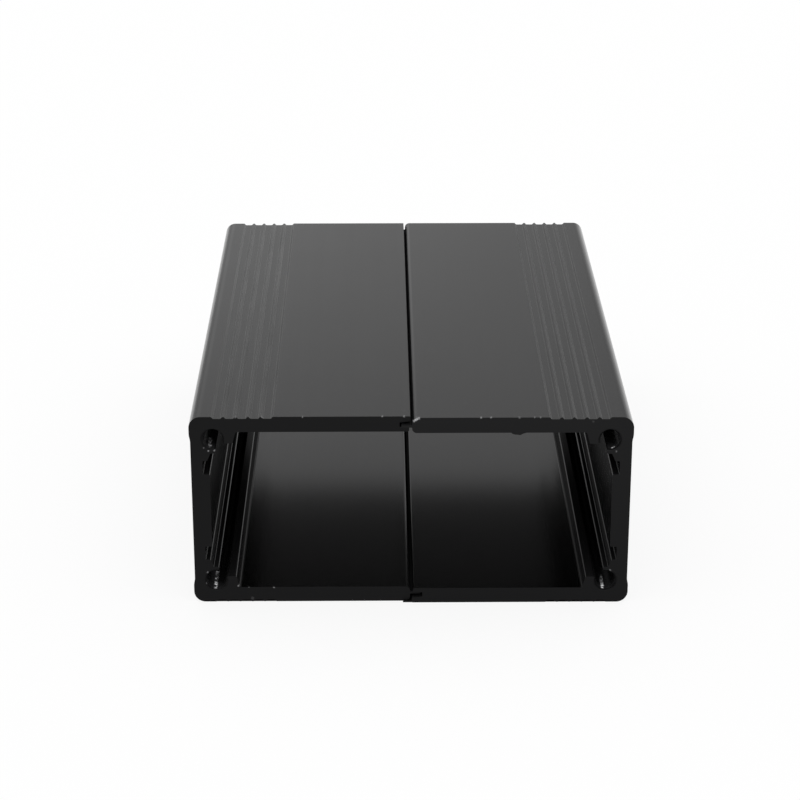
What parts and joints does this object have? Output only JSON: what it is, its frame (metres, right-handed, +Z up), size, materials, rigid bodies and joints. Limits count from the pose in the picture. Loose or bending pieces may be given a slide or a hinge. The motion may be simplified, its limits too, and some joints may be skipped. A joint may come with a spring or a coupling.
{
  "type": "extruded aluminium enclosure",
  "caption": "Split extruded aluminium enclosure, black anodised and open at both ends, with interlocking half shells, corner screw ports and side board slots.",
  "frame": {"origin": "centre of the enclosure's footprint, on the plane of the base", "axes": "+Z up, away from the base; +Y along the extrusion, from the front end to the back end; +X across the width, from the left shell to the right shell"},
  "size_m": [0.076, 0.11, 0.035],
  "materials": {
    "anodised": "satin black anodised"
  },
  "bodies": {
    "root": {"left_shell": "anodised", "right_shell": "anodised"}
  },
  "joints": []
}
